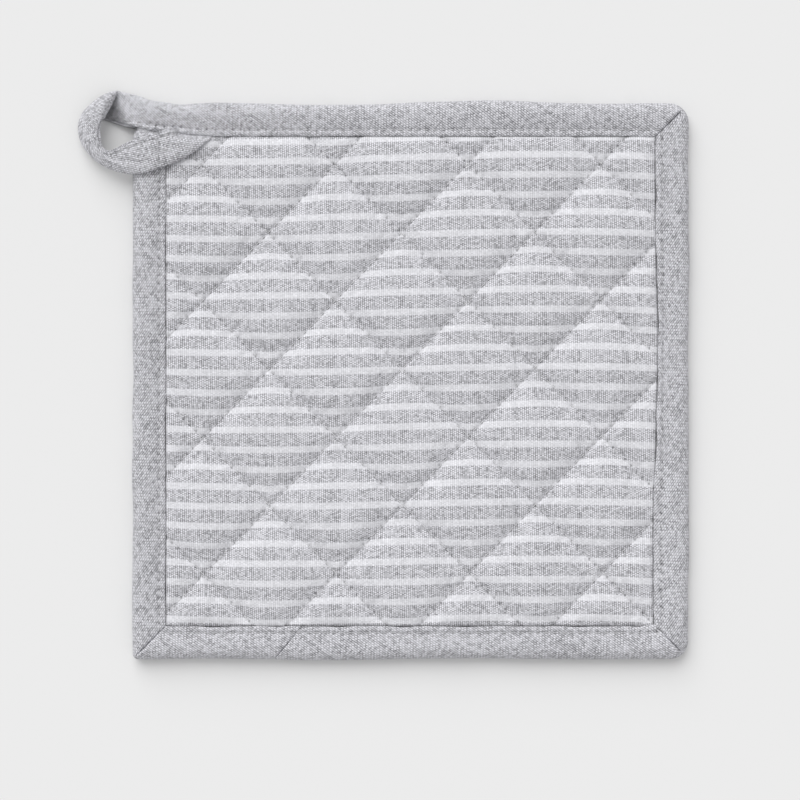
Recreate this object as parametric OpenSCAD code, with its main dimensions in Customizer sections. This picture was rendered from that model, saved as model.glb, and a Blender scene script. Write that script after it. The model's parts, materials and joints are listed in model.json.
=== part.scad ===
// Quilted pot holder: a square striped pad, quilted in diamonds and bound all round
// with bias tape. The tape runs on past one corner as a hanging loop.
//
// Origin: the centre of the pad, on the plane that it rests on.
// +X is to the right, +Y towards the edge with the loop, +Z out of the striped front.

/* [Pad] */
// Side of the square pad, over its binding
pad_size = 200; // [160:5:240]
// Thickness of one layer of woven cotton
cloth_t = 0.55; // [0.4:0.05:0.7]
// Thickness of the panels and wadding where they are sewn flat
pressed_t = 3.4; // [2.6:0.2:4.2]
// Height of the front puffs over the middle of the sewn layers
front_crown = 5.2; // [4:0.2:7]

/* [Quilting] */
// Number of quilting lines in each direction
quilt_lines = 7; // [5:2:9]
// Distance between neighbouring quilting lines
quilt_pitch = 34.3; // [28:0.1:40]
// Angle of the rising lines to the X axis
rising_angle = 46; // [40:0.5:50]
// Angle of the falling lines to the X axis
falling_angle = -45.5; // [-50:0.5:-40]
// Distance of the middle rising line from the pad's centre
rising_shift = 5.5; // [0:0.5:15]
// Distance of the middle falling line from the pad's centre
falling_shift = 1; // [0:0.5:15]
// Half the width of the flat strip that a quilting line is sewn on
line_half_w = 0.5; // [0.3:0.1:1]
// Run from a quilting line up to the flat top of a puff
puff_run = 9; // [6:0.5:12]
// Run from the binding up to the flat top of a puff
edge_run = 6; // [4:0.5:10]

/* [Thread] */
// Diameter of the sewing thread
thread_d = 0.4; // [0.3:0.05:0.5]

/* [Binding] */
// Width of the binding on the front and on the back
binding_w = 12; // [9:0.5:15]
// Distance of the edge stitching from the binding's inner edge
stitch_inset = 2.3; // [1.5:0.1:4]
// Corner radius at the top right
corner_r_top_right = 6.8; // [2:0.2:9]
// Corner radius at the bottom right
corner_r_bottom_right = 2.8; // [2:0.2:9]
// Corner radius at the bottom left
corner_r_bottom_left = 2; // [2:0.2:9]
// Place of the join between the two strips, along the bottom edge
join_x = -44; // [-60:1:60]
// Angle of the join seam to the X axis
join_angle = 50; // [45:1:60]

/* [Hanging loop] */
// Outer radius of the loop
loop_r = 15.3; // [13:0.1:18]
// Radius of the hole in the loop
hole_r = 5.8; // [4.5:0.1:7]
// Thickness of the folded and stitched tape
tape_t = 2.2; // [1.6:0.1:2.6]
// Distance that the hinge line of the loop stands off the pad's side
hinge_gap = 1.5; // [1.5:0.1:2]
// Distance of the loop's middle below the pad's top edge
loop_drop = 10.5; // [9:0.5:13]
// Height of the hinge line at the loop's middle
hinge_z = 4.8; // [4.6:0.1:5.2]
// Slope of the loop, which climbs from the pad's edge onto its binding
loop_tilt = 12; // [8:1:14]
// Length of the root that flares off the pad's top edge into the loop
root_len = 12; // [8:1:16]
// Width of the root half way along it
root_w = 2; // [1:0.5:3]
// Radius of the curve that the sewn tail of the loop follows
tail_sweep_r = 38; // [34:1:42]
// Slope of the puffs beside the tail, from the X axis
tail_angle = 33; // [25:1:40]
// Distance of the tail's lower edge below the pad's top edge, at the pad's side
tail_low = 25.7; // [24:0.1:28]
// Distance of the tail's upper edge below the pad's top edge, at the pad's side
tail_high = 13.7; // [12:0.1:15]
// Distance of the tail's tip from the pad's side
tail_len = 34; // [28:1:36]
// Distance of the tail's peak from the pad's side
tail_peak_in = 14.4; // [12:0.1:16]
// Distance of the tail's peak below the pad's top edge
tail_peak_low = 9; // [8:0.5:11]
// Distance from the pad's side to where the tail passes under the top strip
tail_tuck = 18; // [16:0.5:22]

/* [Hidden] */
$fn = 96;
cut_over = 1;
thread_r = thread_d / 2;
half = pad_size / 2;
inner = half - binding_w;
binding_t = pressed_t + 4 * cloth_t;
mid_z = binding_t / 2;
back_crown = mid_z;
pressed_half = pressed_t / 2;
fold_wall = 2 * cloth_t;
fold_bevel = 1.2;
line_step = thread_d + 0.05;
stitch_at = inner + stitch_inset;
line_numbers = [1:quilt_lines];
middle_line = (quilt_lines + 1) / 2;

// The tail is the sewn end of the loop. It lies on the binding and is caught under the top strip.
tail_z = binding_t;
tail_top = tail_z + tape_t;
tail_low_y = half - tail_low;
tail_high_y = half - tail_high;
tail_tip_x = -half + tail_len;
tail_peak = [-half + tail_peak_in, half - tail_peak_low];
tail_tuck_x = -half + tail_tuck;
sweep_y = tail_low_y + tail_sweep_r;

// The loop's own plane: x away from the pad is negative, y runs down the slope.
loop_centre = [-3, 0];
hole_centre = [-3.8, -0.8];
hinge_x = -half - hinge_gap;
loop_stitch_r = hole_r + stitch_inset;
root_clear = 0.1;

function tail_low_at(x) = sweep_y - sqrt(pow(tail_sweep_r, 2) - pow(x + half, 2));
function chord_half(r, x) = sqrt(r * r - x * x);
function line_offset(i, shift) = shift + quilt_pitch * (i - middle_line);

QUILT_NODES = [
    for (family = ["rising", "falling"])
        for (thread = ["needle", "bobbin"])
            for (i = line_numbers) str(family, "_", thread, "_thread_", i)
];

// ---- Helpers: outlines and threads ----

// What a round corner takes off a square one, for a corner at the origin that points to +X +Y.
module corner_waste(r) {
    translate([-r, -r])
        difference() {
            square(r + cut_over);
            circle(r);
        }
}

// The pad's outline, drawn in from its outer edge.
module pad_outline(inset) {
    side = half - inset;
    difference() {
        square(2 * side, center = true);
        translate([side, side]) corner_waste(corner_r_top_right - inset);
        translate([side, -side]) rotate(-90) corner_waste(corner_r_bottom_right - inset);
        translate([-side, -side]) rotate(180) corner_waste(corner_r_bottom_left - inset);
    }
}

// A run of thread through a list of points, each stretch carried on past its ends by a radius.
module thread_run(points) {
    for (i = [0 : len(points) - 2]) {
        step = points[i + 1] - points[i];
        translate(points[i])
            rotate([0, acos(step.z / norm(step)), atan2(step.y, step.x)])
                translate([0, 0, -thread_r])
                    cylinder(h = norm(step) + thread_d, r = thread_r, $fn = 16);
    }
}

// The dent that level runs of thread are pulled into, along a list of points.
module thread_dent(points) {
    for (i = [0 : len(points) - 2]) {
        step = points[i + 1] - points[i];
        translate(points[i])
            rotate(atan2(step.y, step.x))
                translate([-thread_r, -thread_r, -thread_r])
                    cube([norm(step) + thread_d, thread_d, thread_d]);
    }
}

// ---- Helpers: the quilted layers ----

// A long bar along local X, with a given cross-section in local Y and Z.
module long_bar(section) {
    rotate([90, 0, 90]) linear_extrude(3 * half, center = true) polygon(section);
}

// The channel that one quilting line pulls into a half of the pad. side is 1 in front, -1 behind.
module quilt_channel(side, crown, floor_h) {
    long_bar([
        [-line_half_w, side * floor_h],
        [line_half_w, side * floor_h],
        [puff_run, side * crown],
        [puff_run, side * (crown + cut_over)],
        [-puff_run, side * (crown + cut_over)],
        [-puff_run, side * crown]
    ]);
}

// The slope beside a straight edge along local X, pressed flat to floor_h beyond local y = 0.
module edge_slope(side, crown, floor_h) {
    long_bar([
        [0, side * floor_h],
        [half, side * floor_h],
        [half, side * (crown + cut_over)],
        [-edge_run, side * (crown + cut_over)],
        [-edge_run, side * crown]
    ]);
}

// Half of the padded layers, from their middle plane out to the quilted surface.
module quilted_half(side, crown) {
    difference() {
        translate([0, 0, min(0, side * crown)]) linear_extrude(crown) pad_outline(fold_wall);
        for (i = line_numbers) {
            rotate(rising_angle)
                translate([0, line_offset(i, rising_shift), 0])
                    quilt_channel(side, crown, pressed_half);
            rotate(falling_angle)
                translate([0, line_offset(i, falling_shift), 0])
                    quilt_channel(side, crown, pressed_half + line_step);
        }
        for (turn = [0 : 90 : 270])
            rotate(turn) translate([0, inner, 0]) edge_slope(side, crown, pressed_half);
    }
}

// The front half, also pressed down under the sewn tail of the loop.
module front_half() {
    difference() {
        quilted_half(1, front_crown);
        translate([-half, sweep_y, 0])
            rotate(tail_angle)
                translate([0, -tail_sweep_r, 0]) edge_slope(1, front_crown, mid_z);
    }
}

module back_half() {
    quilted_half(-1, back_crown);
}

// One thread of a quilting line, as far as the binding's inner edge.
module quilt_thread(angle, offset, z) {
    color("whitesmoke")
        intersection() {
            cube([2 * inner, 2 * inner, 4 * binding_t], center = true);
            translate([0, 0, z])
                rotate(angle)
                    translate([-1.5 * half, offset, 0])
                        rotate([0, 90, 0]) cylinder(h = 3 * half, r = thread_r, $fn = 16);
        }
}

// ---- Helpers: the binding ----

// Cross-section of the bound edge, whose fold faces -X.
module binding_profile() {
    polygon([
        [-half, fold_bevel],
        [-half + fold_bevel, 0],
        [-inner, 0],
        [-inner, binding_t],
        [-half + fold_bevel, binding_t],
        [-half, binding_t - fold_bevel]
    ]);
}

// One side of the binding, along the +X edge before it is turned, cut to a plan outline.
module binding_side(turn, outline) {
    intersection() {
        rotate(turn + 180)
            translate([0, half + cut_over, 0])
                rotate([90, 0, 0]) linear_extrude(2 * (half + cut_over)) binding_profile();
        linear_extrude(binding_t) polygon(outline);
    }
}

// The part of the bottom edge to the right of the join seam.
module right_of_join() {
    translate([join_x, -half + binding_w / 2, -cut_over])
        rotate(join_angle - 90)
            translate([0, -pad_size, 0]) cube([2 * pad_size, 2 * pad_size, 2 * pad_size]);
}

module bottom_side() {
    far = half + cut_over;
    binding_side(-90, [[-far, -far], [far, -far], [inner, -inner], [-inner, -inner]]);
}

// Room in the binding for the panels' edges, its rounded corners and its threads.
module binding_cuts() {
    translate([0, 0, mid_z - pressed_half]) linear_extrude(pressed_t) pad_outline(fold_wall);
    difference() {
        translate([0, 0, -cut_over]) linear_extrude(3 * binding_t) square(3 * half, center = true);
        translate([0, 0, -2 * cut_over]) linear_extrude(4 * binding_t) pad_outline(0);
    }
    thread_dent(edge_stitches(binding_t - thread_r));
    thread_dent(edge_stitches(thread_r));
    join_threads();
}

// The edge stitching, down the left side and round to the loop.
function edge_stitches(z) = [
    [-stitch_at, inner - thread_r, z],
    [-stitch_at, -stitch_at, z],
    [stitch_at, -stitch_at, z],
    [stitch_at, stitch_at, z],
    [-half + stitch_inset, stitch_at, z]
];

// The hidden seam that joins the two strips, in the front leg and in the back leg.
module join_threads() {
    along = [cos(join_angle), sin(join_angle), 0];
    inwards = binding_w / 2 / sin(join_angle) - 2 * cloth_t;
    outwards = inwards / 2;
    centre = [join_x, -half + binding_w / 2, 0];
    for (z = [cloth_t, binding_t - cloth_t])
        translate([0, 0, z])
            thread_run([centre - outwards * along, centre + inwards * along]);
}

// ---- Helpers: the hanging loop ----

// Carries its children from the loop's own plane to the pad's frame.
module in_loop_plane() {
    translate([hinge_x, half - loop_drop, hinge_z]) rotate([-loop_tilt, 0, 0]) children();
}

// A strand's round end on the hinge line, from one y to another.
module strand_end(from_y, to_y) {
    translate([0, from_y, 0])
        rotate([-90, 0, 0]) cylinder(h = to_y - from_y, d = tape_t, $fn = 48);
}

// Everything on the far side of the hinge line from the pad.
module beyond_hinge() {
    translate([-3 * loop_r, -2 * loop_r, -loop_r])
        cube([3 * loop_r, 4 * loop_r, 2 * loop_r]);
}

// A stitch line round the hole, at height z in the loop's plane, square or round in section.
module loop_stitches(z, round_section) {
    intersection() {
        translate([hole_centre.x, hole_centre.y, z])
            rotate_extrude()
                translate([loop_stitch_r, 0])
                    if (round_section) circle(thread_r, $fn = 16);
                    else square(thread_d, center = true);
        beyond_hinge();
    }
}

// Plan outline of the loop's sewn tail.
module tail_outline() {
    intersection() {
        translate([-half, sweep_y]) circle(tail_sweep_r);
        polygon([
            [-half, tail_low_y - cut_over],
            [tail_tip_x, tail_low_y - cut_over],
            [tail_tip_x, inner],
            [tail_tuck_x, inner],
            tail_peak,
            [-half, tail_high_y]
        ]);
    }
}

// The stitches that close the tape along the tail's upper edge.
function tail_stitches(z) = let (
    along = (tail_peak - [-half, tail_high_y]) / norm(tail_peak - [-half, tail_high_y]),
    inwards = [along.y, -along.x] * stitch_inset,
    start = [-half, tail_high_y] + inwards + along,
    end = tail_peak + inwards - 2 * along
) [[start.x, start.y, z], [end.x, end.y, z]];

// The edge stitching where it crosses the tail.
function crossing_stitches(z) = [
    [-stitch_at, tail_low_at(-stitch_at) - thread_d, z],
    [-stitch_at, tail_high_y - stitch_inset, z]
];

// ---- Pieces ----

module front_panel() {
    color("gainsboro")
        translate([0, 0, mid_z])
            difference() {
                front_half();
                translate([0, 0, -cloth_t]) front_half();
            }
}

module back_panel() {
    color("darkgray")
        translate([0, 0, mid_z])
            difference() {
                back_half();
                translate([0, 0, cloth_t]) back_half();
            }
}

module wadding() {
    block = [3 * half, 3 * half, 2 * half];
    color("white")
        translate([0, 0, mid_z]) {
            intersection() {
                translate([0, 0, -cloth_t]) front_half();
                translate([0, 0, half]) cube(block, center = true);
            }
            intersection() {
                translate([0, 0, cloth_t]) back_half();
                translate([0, 0, -half]) cube(block, center = true);
            }
        }
}

// Left side and the start of the bottom, folded square at the corner.
module binding_strip_short() {
    far = half + cut_over;
    color("silver")
        difference() {
            union() {
                binding_side(180, [[-far, -far], [-inner, -inner], [-inner, inner], [-far, inner]]);
                difference() {
                    bottom_side();
                    right_of_join();
                }
            }
            binding_cuts();
        }
}

// Rest of the bottom, the right side, the top, and the root that the loop grows from.
module binding_strip_long() {
    far = half + cut_over;
    color("silver") {
        difference() {
            union() {
                intersection() {
                    bottom_side();
                    right_of_join();
                }
                binding_side(0, [[far, -far], [far, far], [inner, inner], [inner, -inner]]);
                binding_side(90, [[far, far], [inner, inner], [-half, inner], [-half, far]]);
            }
            binding_cuts();
        }
        loop_root();
    }
}

// The closed tape that flares off the pad's top edge towards the loop.
module loop_root() {
    lip = tape_t / 2 + root_clear;
    low_y = loop_drop - cloth_t;
    high_y = loop_r - cloth_t;
    in_loop_plane()
        linear_extrude(tape_t, center = true)
            polygon([
                [lip, low_y],
                [lip, high_y],
                [hinge_gap + root_len / 2, low_y + root_w],
                [hinge_gap + root_len, low_y]
            ]);
}

module join_seam_thread() {
    color("dimgray") join_threads();
}

module binding_needle_thread() {
    crossing = crossing_stitches(tail_top - thread_r);
    ring = edge_stitches(binding_t - thread_r);
    below_tail = [crossing[0].x, crossing[0].y, ring[0].z];
    color("whitesmoke")
        thread_run([
            crossing[1], crossing[0], below_tail,
            ring[1], ring[2], ring[3], ring[4]
        ]);
}

module binding_bobbin_thread() {
    color("whitesmoke") thread_run(edge_stitches(thread_r));
}

module hanging_loop() {
    hole_chord = chord_half(hole_r, hole_centre.x);
    outer_chord = chord_half(loop_r, loop_centre.x);
    color("lightgray")
        in_loop_plane()
            difference() {
                union() {
                    intersection() {
                        linear_extrude(tape_t, center = true)
                            difference() {
                                translate(loop_centre) circle(loop_r);
                                translate(hole_centre) circle(hole_r);
                            }
                        beyond_hinge();
                    }
                    strand_end(hole_centre.y + hole_chord, outer_chord);
                    strand_end(-outer_chord, hole_centre.y - hole_chord);
                }
                loop_stitches(tape_t / 2 - thread_r, false);
                loop_stitches(thread_r - tape_t / 2, false);
            }
}

module loop_needle_thread() {
    color("whitesmoke") in_loop_plane() loop_stitches(tape_t / 2 - thread_r, true);
}

module loop_bobbin_thread() {
    color("whitesmoke") in_loop_plane() loop_stitches(thread_r - tape_t / 2, true);
}

module loop_tail() {
    color("lightgray")
        difference() {
            translate([0, 0, tail_z]) linear_extrude(tape_t) tail_outline();
            thread_dent(tail_stitches(tail_top - thread_r));
            thread_dent(tail_stitches(tail_z + thread_r));
            thread_dent(crossing_stitches(tail_top - thread_r));
        }
}

module tail_needle_thread() {
    color("whitesmoke") thread_run(tail_stitches(tail_top - thread_r));
}

module tail_bobbin_thread() {
    color("whitesmoke") thread_run(tail_stitches(tail_z + thread_r));
}

front_panel();
wadding();
back_panel();
binding_strip_short();
binding_strip_long();
join_seam_thread();
binding_needle_thread();
binding_bobbin_thread();
hanging_loop();
loop_needle_thread();
loop_bobbin_thread();
loop_tail();
tail_needle_thread();
tail_bobbin_thread();

// The quilting threads: needle threads on the front, bobbin threads on the back.
for (i = line_numbers) {
    rising = line_offset(i, rising_shift);
    falling = line_offset(i, falling_shift);
    low = pressed_half + thread_r;
    high = low + line_step;
    quilt_thread(rising_angle, rising, mid_z + low);
    quilt_thread(falling_angle, falling, mid_z + high);
    quilt_thread(rising_angle, rising, mid_z - low);
    quilt_thread(falling_angle, falling, mid_z - high);
}
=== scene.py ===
"""Quilted pot holder, seen from straight above on a plain pale floor.

The CAD model gives every position: the pad's square, the quilting lines, the binding and the loop's hinge.
The panels are blown up by a cloth simulation between their pinned quilting lines. The binding and the loop are
folded tape, swept along their own edges, and every stitch is a short bowed run of thread.
Lengths in this file are in millimetres and become metres where a mesh is made.
"""

import json
import math

import bmesh
import bpy
import numpy as np
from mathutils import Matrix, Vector


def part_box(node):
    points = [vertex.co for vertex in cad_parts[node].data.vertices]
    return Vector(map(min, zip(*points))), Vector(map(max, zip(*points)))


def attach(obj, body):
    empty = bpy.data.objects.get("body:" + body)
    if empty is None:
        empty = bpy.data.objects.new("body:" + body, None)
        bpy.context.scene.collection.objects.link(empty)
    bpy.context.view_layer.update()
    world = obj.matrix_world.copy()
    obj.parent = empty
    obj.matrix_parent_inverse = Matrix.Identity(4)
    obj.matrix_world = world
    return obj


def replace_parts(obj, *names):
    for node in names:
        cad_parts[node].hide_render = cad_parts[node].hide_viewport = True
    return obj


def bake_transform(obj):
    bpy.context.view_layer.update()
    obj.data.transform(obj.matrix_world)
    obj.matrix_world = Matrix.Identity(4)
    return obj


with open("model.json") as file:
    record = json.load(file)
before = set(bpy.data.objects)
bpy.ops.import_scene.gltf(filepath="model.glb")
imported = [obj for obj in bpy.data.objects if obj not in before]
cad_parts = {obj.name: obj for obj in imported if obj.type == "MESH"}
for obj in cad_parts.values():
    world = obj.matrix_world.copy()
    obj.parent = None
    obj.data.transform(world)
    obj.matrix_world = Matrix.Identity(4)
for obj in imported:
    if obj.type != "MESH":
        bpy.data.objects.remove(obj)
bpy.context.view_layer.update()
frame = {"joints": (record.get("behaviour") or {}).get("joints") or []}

MM = 0.001

# ---- Sizes from the CAD model ----


def box_mm(node):
    """A node's lowest and highest corner, in millimetres."""
    low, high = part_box(node)
    return np.array(low) / MM, np.array(high) / MM


def record_joint(name):
    return next(j for j in frame["joints"] if j["name"] == name)


def quilt_family(family, normal_sign):
    """Angle of a family of quilting lines, and each line's distance from the pad's centre."""
    low, high = box_mm(f"{family}_needle_thread_4")
    angle = normal_sign * math.atan2(high[1] - low[1], high[0] - low[0])
    normal = np.array([-math.sin(angle), math.cos(angle)])
    offsets = []
    for i in range(1, 8):
        low, high = box_mm(f"{family}_needle_thread_{i}")
        offsets.append(float(normal @ ((low + high) / 2)[:2]))
    return angle, normal, np.array(offsets)


panel_high = box_mm("front_panel")[1]
short_low, short_high = box_mm("binding_strip_short")
rise_low = box_mm("rising_needle_thread_4")[0]

HALF = -short_low[0]  # half the pad's side
PANEL_HALF = panel_high[0]  # half the panels' side, inside the binding
BIND_W = 12.0
INNER = HALF - BIND_W  # from the pad's centre to the binding's inner edge
LEG = HALF - INNER
BIND_T = short_high[2]
MID_Z = BIND_T / 2
CROWN_Z = panel_high[2]
LINE_Z = rise_low[2] + 0.05  # height of the front cloth along a quilting line
BACK_LINE_Z = BIND_T - LINE_Z
RISE_ANGLE, RISE_N, RISE_AT = quilt_family("rising", 1)
FALL_ANGLE, FALL_N, FALL_AT = quilt_family("falling", -1)
PITCH = (RISE_AT[-1] - RISE_AT[0]) / 6
STITCH = 3.05  # length of one stitch and the gap after it

# ---- Small maths helpers ----


def smooth(low, high, x):
    """0 below low, 1 above high, and a smooth rise between them."""
    t = np.clip((x - low) / (high - low), 0, 1)
    return t * t * (3 - 2 * t)


def bump_at(x, centre, width):
    return np.exp(-(((x - centre) / width) ** 2))


def waves(x, y, seed, length, count=9):
    """Smooth random hills between about -1 and 1, whose size across is about length."""
    rng = np.random.default_rng(seed)
    total = 0
    for _ in range(count):
        turn = rng.uniform(0, 2 * math.pi)
        step = 2 * math.pi / (length * rng.uniform(0.75, 1.7))
        total = total + np.sin(step * (x * math.cos(turn) + y * math.sin(turn)) + rng.uniform(0, 2 * math.pi))
    return total / math.sqrt(count / 2) / 1.6


def catmull_rom(a, b, c, d, u):
    return 0.5 * (2 * b + (c - a) * u + (2 * a - 5 * b + 4 * c - d) * u**2 + (3 * b - a - 3 * c + d) * u**3)


def curve_through(points, count):
    """Catmull-Rom curve through rows of numbers, at evenly spaced parameters."""
    p = np.asarray(points, float)
    p = np.vstack([2 * p[0] - p[1], p, 2 * p[-1] - p[-2]])
    t = np.linspace(0, len(p) - 3, count)
    i = np.minimum(t.astype(int), len(p) - 4)
    u = (t - i)[:, None]
    return catmull_rom(p[i], p[i + 1], p[i + 2], p[i + 3], u)


def run_length(points):
    """Distance along a line of points, at each point."""
    return np.concatenate([[0], np.cumsum(np.linalg.norm(np.diff(points, axis=0), axis=1))])


# ---- Mesh helpers ----


def new_object(name, verts, faces, material, weave=None, dark=None):
    """A mesh object from vertices in millimetres. weave holds each vertex's place on the flat cloth."""
    mesh = bpy.data.meshes.new(name)
    verts = np.asarray(verts, float)
    mesh.from_pydata((verts * MM).tolist(), [], faces if isinstance(faces, list) else faces.tolist())
    if weave is not None:
        place = np.zeros((len(verts), 3), np.float32)
        place[:, : weave.shape[1]] = weave
        layer = mesh.attributes.new("weave", "FLOAT_VECTOR", "POINT")
        layer.data.foreach_set("vector", place.ravel())
    # dark is painted shade: it darkens the cloth's colour at needle holes and where cloth tucks under other cloth
    if dark is not None:
        layer = mesh.attributes.new("painted_shade", "FLOAT", "POINT")
        layer.data.foreach_set("value", np.asarray(dark, np.float32))
    mesh.materials.append(material)
    mesh.shade_smooth()
    obj = bpy.data.objects.new(name, mesh)
    bpy.context.scene.collection.objects.link(obj)
    return obj


def tube_faces(stations, rows):
    """Faces of a closed tube of stations, each a closed ring of rows."""
    i = np.arange(stations - 1)[:, None] * rows
    j = np.arange(rows)[None, :]
    k = (j + 1) % rows
    quads = np.stack([i + j, i + rows + j, i + rows + k, i + k], -1).reshape(-1, 4)
    last = (stations - 1) * rows
    return quads.tolist() + [list(range(rows)), [last + r for r in reversed(range(rows))]]


def face_outwards(obj):
    """Turns a closed mesh's faces so that they all point out of it."""
    bm = bmesh.new()
    bm.from_mesh(obj.data)
    bmesh.ops.recalc_face_normals(bm, faces=bm.faces)
    bm.to_mesh(obj.data)
    bm.free()


# ---- Materials ----


class Shader:
    """A material and a few shorthands for building its nodes."""

    def __init__(self, name, roughness, sheen=0.0, specular=0.25):
        self.material = bpy.data.materials.new(name)
        self.material.use_nodes = True
        self.tree = self.material.node_tree
        self.shader = self.tree.nodes["Principled BSDF"]
        self.set("Roughness", roughness)
        self.set("Sheen Weight", sheen)
        self.set("Sheen Roughness", 0.5)
        self.set("Specular IOR Level", specular)

    def new(self, kind):
        return self.tree.nodes.new("ShaderNode" + kind)

    def set(self, socket, value):
        self.shader.inputs[socket].default_value = value

    def join(self, source, target):
        """Links a socket, or sets a plain value."""
        if isinstance(source, bpy.types.NodeSocket):
            self.tree.links.new(source, target)
        else:
            target.default_value = source

    def math(self, operation, a, b=0.0, c=0.0, clamp=False):
        node = self.new("Math")
        node.operation = operation
        node.use_clamp = clamp
        for value, socket in zip((a, b, c), node.inputs):
            self.join(value, socket)
        return node.outputs[0]

    def attribute(self, name, output="Vector"):
        node = self.new("Attribute")
        node.attribute_name = name
        return node.outputs[output]

    def split(self, vector):
        node = self.new("SeparateXYZ")
        self.join(vector, node.inputs[0])
        return node.outputs

    def combine(self, x, y, z=0.0):
        node = self.new("CombineXYZ")
        for value, socket in zip((x, y, z), node.inputs):
            self.join(value, socket)
        return node.outputs[0]

    def noise(self, vector, scale, detail=3.0, roughness=0.6):
        node = self.new("TexNoise")
        self.join(vector, node.inputs["Vector"])
        node.inputs["Scale"].default_value = scale
        node.inputs["Detail"].default_value = detail
        node.inputs["Roughness"].default_value = roughness
        return node.outputs["Fac"]

    def chance(self, vector):
        """A random number from 0 to 1 for each whole-numbered point."""
        node = self.new("TexWhiteNoise")
        node.noise_dimensions = "3D"
        self.join(vector, node.inputs["Vector"])
        return node.outputs["Value"]

    def blend(self, factor, a, b):
        node = self.new("Mix")
        node.data_type = "RGBA"
        self.join(factor, node.inputs[0])
        for value, socket in ((a, node.inputs[6]), (b, node.inputs[7])):
            self.join((*value, 1.0) if isinstance(value, tuple) else value, socket)
        return node.outputs[2]

    def shade(self, colour, factor):
        """A colour made lighter or darker by a number."""
        node = self.new("VectorMath")
        node.operation = "SCALE"
        self.join(colour, node.inputs[0])
        self.join(factor, node.inputs["Scale"])
        return node.outputs[0]

    def finish(self, colour, height, depth, strength=1.0):
        """Sets the colour, and a bump whose full height is depth millimetres."""
        self.join(colour, self.shader.inputs["Base Color"])
        node = self.new("Bump")
        node.inputs["Distance"].default_value = depth * MM
        node.inputs["Strength"].default_value = strength
        self.join(height, node.inputs["Height"])
        self.join(node.outputs[0], self.shader.inputs["Normal"])
        return self.material


def woven(shader, u, v, ends, picks):
    """A plain weave at (u, v): which yarn is up, its height, random numbers, and the roundness of an end."""
    m = shader.math
    a, b = m("DIVIDE", u, ends), m("DIVIDE", v, picks)
    column, row = m("FLOOR", a), m("FLOOR", b)
    across = m("MULTIPLY_ADD", m("SUBTRACT", a, column), 2.0, -1.0)
    along = m("MULTIPLY_ADD", m("SUBTRACT", b, row), 2.0, -1.0)
    warp_up = m("MULTIPLY", m("FRACT", m("MULTIPLY", m("ADD", column, row), 0.5)), 2.0)
    across_round = m("SUBTRACT", 1.0, m("MULTIPLY", across, across))
    along_round = m("SUBTRACT", 1.0, m("MULTIPLY", along, along))
    warp_height = m("MULTIPLY", across_round, m("MULTIPLY_ADD", along_round, 0.6, 0.4))
    weft_height = m("MULTIPLY", along_round, m("MULTIPLY_ADD", across_round, 0.6, 0.4))
    height = m("ADD", m("MULTIPLY", warp_height, warp_up),
               m("MULTIPLY", weft_height, m("SUBTRACT", 1.0, warp_up)))
    crossing = shader.chance(shader.combine(column, row, 3.0))
    end = shader.chance(shader.combine(column, 0.0, 7.0))
    return warp_up, height, crossing, end, across_round


WHITE_YARN = (0.80, 0.80, 0.835)
PALE_YARN = (0.685, 0.683, 0.718)
GREY_YARN = (0.405, 0.405, 0.432)
STRIPE_PITCH = 6.87
STRIPE_HALF = 0.163  # half a stripe's width, as a share of the pitch
CROSSING_SHADE = 0.85  # how much the melange yarn's colour jumps from crossing to crossing
RIB_SHADE = 0.95  # how much darker the gaps between two ends are than their tops: painted shade in the gaps


def cotton(name, stripes, bias, pale=PALE_YARN, grey=GREY_YARN):
    """Melange cotton in a plain weave, with white weft stripes or with its yarns turned by 45 degrees."""
    s = Shader(name, 0.92, sheen=0.12, specular=0.15)
    m = s.math
    u, v, _ = s.split(s.attribute("weave"))
    if bias:
        u, v = (m("MULTIPLY_ADD", u, 0.57, m("MULTIPLY", v, 0.83)),
                m("MULTIPLY_ADD", u, 0.72, m("MULTIPLY", v, -0.70)))
    drift = s.noise(s.combine(u, v), 0.12, 2.0)
    u = m("MULTIPLY_ADD", drift, 0.5, u)
    warp_up, height, crossing, end, rib = woven(s, u, v, 0.72 if bias else 0.745, 0.60 if bias else 0.40)
    weft = grey
    warp = pale
    if stripes:
        place = m("FRACT", m("ADD", m("DIVIDE", v, STRIPE_PITCH), 0.5))
        ragged = m("MULTIPLY_ADD", crossing, 0.03, -0.015)
        off = m("ADD", m("ABSOLUTE", m("SUBTRACT", place, 0.5)), ragged)
        in_stripe = m("SUBTRACT", 1.0, m("MULTIPLY", m("SUBTRACT", off, STRIPE_HALF - 0.012), 42.0, clamp=True))
        weft = s.blend(in_stripe, grey, WHITE_YARN)
        warp = s.blend(in_stripe, pale, (0.715, 0.715, 0.75))
        calm = m("MULTIPLY_ADD", in_stripe, -0.75, 1.0)
    else:
        calm = 1.0
    colour = s.blend(m("MULTIPLY_ADD", warp_up, 0.6, 0.2), weft, warp)
    cloudy = s.noise(s.combine(u, v), 0.05, 3.0)
    slub = s.noise(s.combine(m("MULTIPLY", u, 1.6), m("MULTIPLY", v, 0.25)), 1.0, 2.0)
    shade = m("MULTIPLY_ADD", crossing, CROSSING_SHADE, -CROSSING_SHADE / 2)
    shade = m("ADD", shade, m("MULTIPLY_ADD", end, 0.20, -0.10))
    shade = m("ADD", shade, m("MULTIPLY_ADD", slub, 0.6, -0.30))
    # painted shade: the gaps between two ends are darker than their tops
    shade = m("ADD", shade, m("MULTIPLY_ADD", rib, RIB_SHADE, -0.60 * RIB_SHADE))
    shade = m("ADD", m("MULTIPLY", shade, calm), m("MULTIPLY_ADD", cloudy, 0.12, 0.97))
    shade = m("MINIMUM", m("MAXIMUM", shade, 0.25), 1.38)
    # painted shade: the cloth is darkened at its needle holes, where it tucks under the binding and in the tape's
    # crease
    painted_dark = s.attribute("painted_shade", "Fac")
    shade = m("MULTIPLY", shade, m("SUBTRACT", 1.0, m("MULTIPLY", painted_dark, 0.85, clamp=True)))
    return s.finish(s.shade(colour, shade), height, 0.16, 0.8)


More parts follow.
